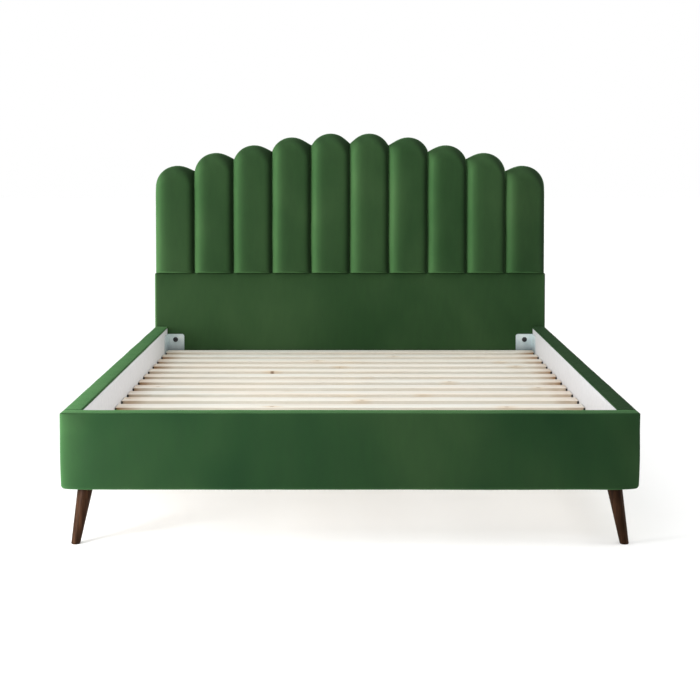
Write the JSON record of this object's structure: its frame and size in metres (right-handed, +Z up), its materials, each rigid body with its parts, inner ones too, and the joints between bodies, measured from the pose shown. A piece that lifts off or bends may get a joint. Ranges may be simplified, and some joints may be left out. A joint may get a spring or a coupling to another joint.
{
  "type": "upholstered headboard bed",
  "caption": "Velvet double bed frame with a scalloped, channelled headboard, padded rails, pine slat deck and splayed tapered legs.",
  "frame": {"origin": "on the floor, at the centre of the bed's outer box", "axes": "+Z up, +X across the bed to the right seen from the foot end, +Y from the foot end to the headboard"},
  "size_m": [1.63, 2.142, 1.187],
  "materials": {
    "velvet": "green velvet",
    "lining": "off-white woven lining",
    "board": "raw particle board",
    "rail_timber": "sawn softwood",
    "pine": "planed pine",
    "zinc_steel": "bright zinc plate",
    "black_steel": "black powder coat",
    "walnut": "dark walnut lacquer"
  },
  "bodies": {
    "root": {"beam_hanger_foot": "zinc_steel", "beam_hanger_head": "zinc_steel", "centre_beam": "pine", "centre_leg": "black_steel", "corner_block_foot_left": "pine", "corner_block_foot_right": "pine", "corner_block_head_left": "pine", "corner_block_head_right": "pine", "foot_lining": "lining", "foot_pad": "velvet", "foot_rail": "rail_timber", "head_bolt_left": "black_steel", "head_bolt_right": "black_steel", "head_bracket_left": "zinc_steel", "head_bracket_right": "zinc_steel", "headboard_back_cover": "velvet", "headboard_board": "board", "headboard_border": "velvet", "headboard_channel_01": "velvet", "headboard_channel_02": "velvet", "headboard_channel_03": "velvet", "headboard_channel_04": "velvet", "headboard_channel_05": "velvet", "headboard_channel_06": "velvet", "headboard_channel_07": "velvet", "headboard_channel_08": "velvet", "headboard_channel_09": "velvet", "headboard_channel_10": "velvet", "headboard_lower_pad": "velvet", "leg_foot_left": "walnut", "leg_foot_right": "walnut", "leg_head_left": "walnut", "leg_head_right": "walnut", "leg_plate_foot_left": "black_steel", "leg_plate_foot_right": "black_steel", "leg_plate_head_left": "black_steel", "leg_plate_head_right": "black_steel", "side_lining_left": "lining", "side_lining_right": "lining", "side_pad_left": "velvet", "side_pad_right": "velvet", "side_rail_left": "rail_timber", "side_rail_right": "rail_timber", "slat_01": "pine", "slat_02": "pine", "slat_03": "pine", "slat_04": "pine", "slat_05": "pine", "slat_06": "pine", "slat_07": "pine", "slat_08": "pine", "slat_09": "pine", "slat_10": "pine", "slat_11": "pine", "slat_12": "pine", "slat_13": "pine", "slat_14": "pine", "slat_15": "pine", "slat_ledge_left": "pine", "slat_ledge_right": "pine"}
  },
  "joints": []
}
